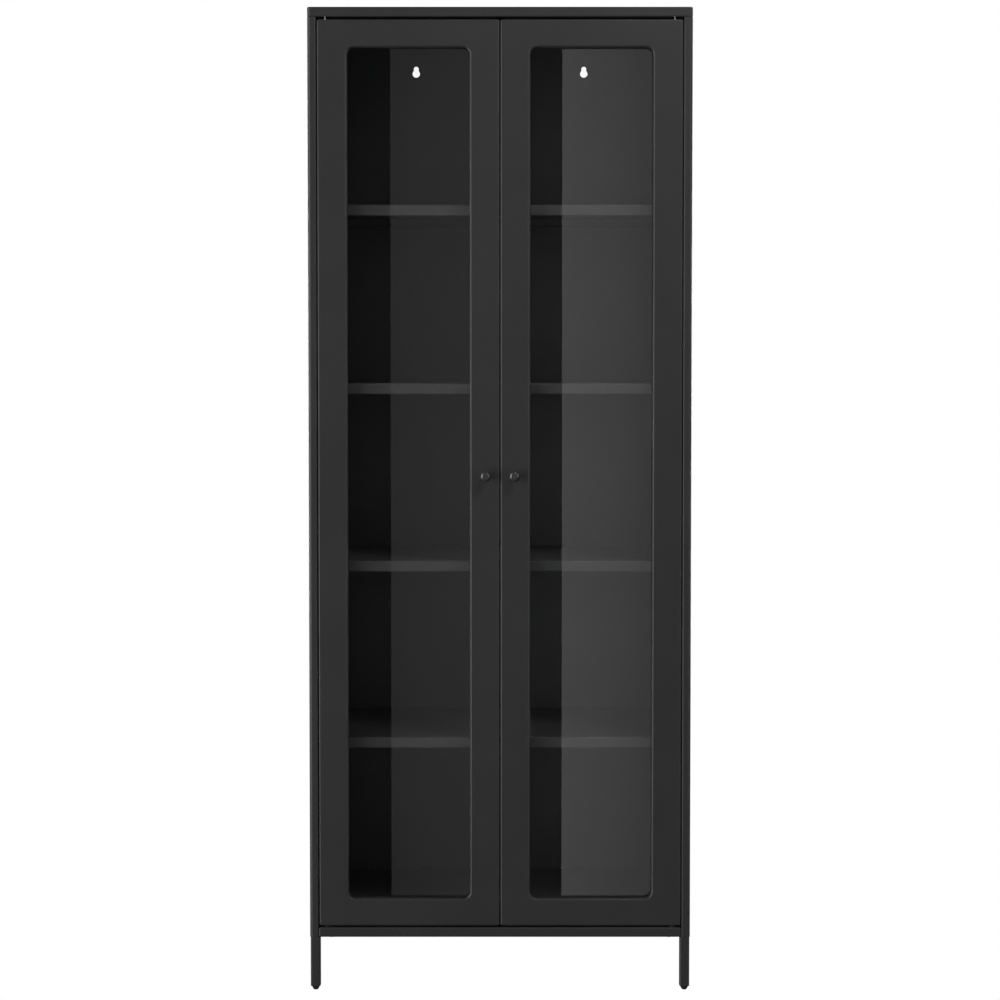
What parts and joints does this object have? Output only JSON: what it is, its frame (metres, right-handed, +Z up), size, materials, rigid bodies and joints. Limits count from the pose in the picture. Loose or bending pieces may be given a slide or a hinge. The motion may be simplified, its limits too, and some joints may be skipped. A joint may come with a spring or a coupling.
{
  "type": "tower display case",
  "caption": "Tall freestanding metal display case with glazed double doors on pivot pins, adjustable shelves, round knobs and short square legs.",
  "frame": {"origin": "on the floor under the middle of the object's box, knobs included", "axes": "+Z up along the height, the doors face -Y, +X towards the right-hand door seen from the front"},
  "size_m": [0.7, 0.424, 1.8],
  "materials": {
    "powder_coat": "black fine-textured powder coat, satin",
    "knob_coat": "black satin coat on turned aluminium",
    "clear_glass": "clear tempered glass",
    "black_rubber": "matt black rubber edging",
    "foot_plastic": "moulded black plastic",
    "catch_plastic": "moulded black plastic",
    "bush_nylon": "black nylon",
    "zinc_steel": "bright zinc plate",
    "pin_steel": "bright zinc plate",
    "pivot_steel": "black oxide",
    "spring_steel": "spring wire"
  },
  "bodies": {
    "cabinet": {"top_panel": "powder_coat", "bottom_panel": "powder_coat", "bottom_rail": "powder_coat", "left_side_panel": "powder_coat", "right_side_panel": "powder_coat", "back_panel": "powder_coat", "front_left_upright": "powder_coat", "front_right_upright": "powder_coat", "rear_left_upright": "powder_coat", "rear_right_upright": "powder_coat", "shelf_1": "powder_coat", "shelf_2": "powder_coat", "shelf_3": "powder_coat", "shelf_4": "powder_coat", "shelf_1_clips": "zinc_steel", "shelf_2_clips": "zinc_steel", "shelf_3_clips": "zinc_steel", "shelf_4_clips": "zinc_steel", "front_left_leg": "powder_coat", "front_left_foot": "foot_plastic", "front_right_leg": "powder_coat", "front_right_foot": "foot_plastic", "rear_left_leg": "powder_coat", "rear_left_foot": "foot_plastic", "rear_right_leg": "powder_coat", "rear_right_foot": "foot_plastic", "leg_nuts": "zinc_steel", "top_panel_screws": "zinc_steel", "bottom_panel_screws": "zinc_steel", "back_panel_screws": "zinc_steel", "magnet_catch_screws": "zinc_steel", "left_magnet_catch": "catch_plastic", "left_bottom_pivot": "pivot_steel", "left_top_bush": "bush_nylon", "right_magnet_catch": "catch_plastic", "right_bottom_pivot": "pivot_steel", "right_top_bush": "bush_nylon"},
    "left_door": {"left_door_panel": "powder_coat", "left_glass": "clear_glass", "left_glass_gasket": "black_rubber", "left_retaining_frame": "powder_coat", "left_door_screws": "zinc_steel", "left_knob": "knob_coat", "left_strike_plate": "zinc_steel", "left_bottom_bush": "bush_nylon", "left_pin_bracket": "powder_coat", "left_pin_spring": "spring_steel"},
    "left_top_pin": {"left_top_pin": "pin_steel"},
    "right_door": {"right_door_panel": "powder_coat", "right_glass": "clear_glass", "right_glass_gasket": "black_rubber", "right_retaining_frame": "powder_coat", "right_door_screws": "zinc_steel", "right_knob": "knob_coat", "right_strike_plate": "zinc_steel", "right_bottom_bush": "bush_nylon", "right_pin_bracket": "powder_coat", "right_pin_spring": "spring_steel"},
    "right_top_pin": {"right_top_pin": "pin_steel"}
  },
  "joints": [
    {"name": "left_door_hinge", "type": "hinge", "parent": "cabinet", "child": "left_door", "pos_m": [-0.3175, -0.182, 0.95], "axis": [0, 0, -1], "range_deg": [0, 110]},
    {"name": "right_door_hinge", "type": "hinge", "parent": "cabinet", "child": "right_door", "pos_m": [0.3175, -0.182, 0.95], "axis": [0, 0, 1], "range_deg": [0, 110]},
    {"name": "left_top_pin_slide", "type": "slide", "parent": "left_door", "child": "left_top_pin", "axis": [0, 0, -1], "range_m": [0, 0.006], "stiffness_N_per_m": 400, "springref_m": -0.004, "deforming": ["left_pin_spring"]},
    {"name": "right_top_pin_slide", "type": "slide", "parent": "right_door", "child": "right_top_pin", "axis": [0, 0, -1], "range_m": [0, 0.006], "stiffness_N_per_m": 400, "springref_m": -0.004, "deforming": ["right_pin_spring"]}
  ]
}
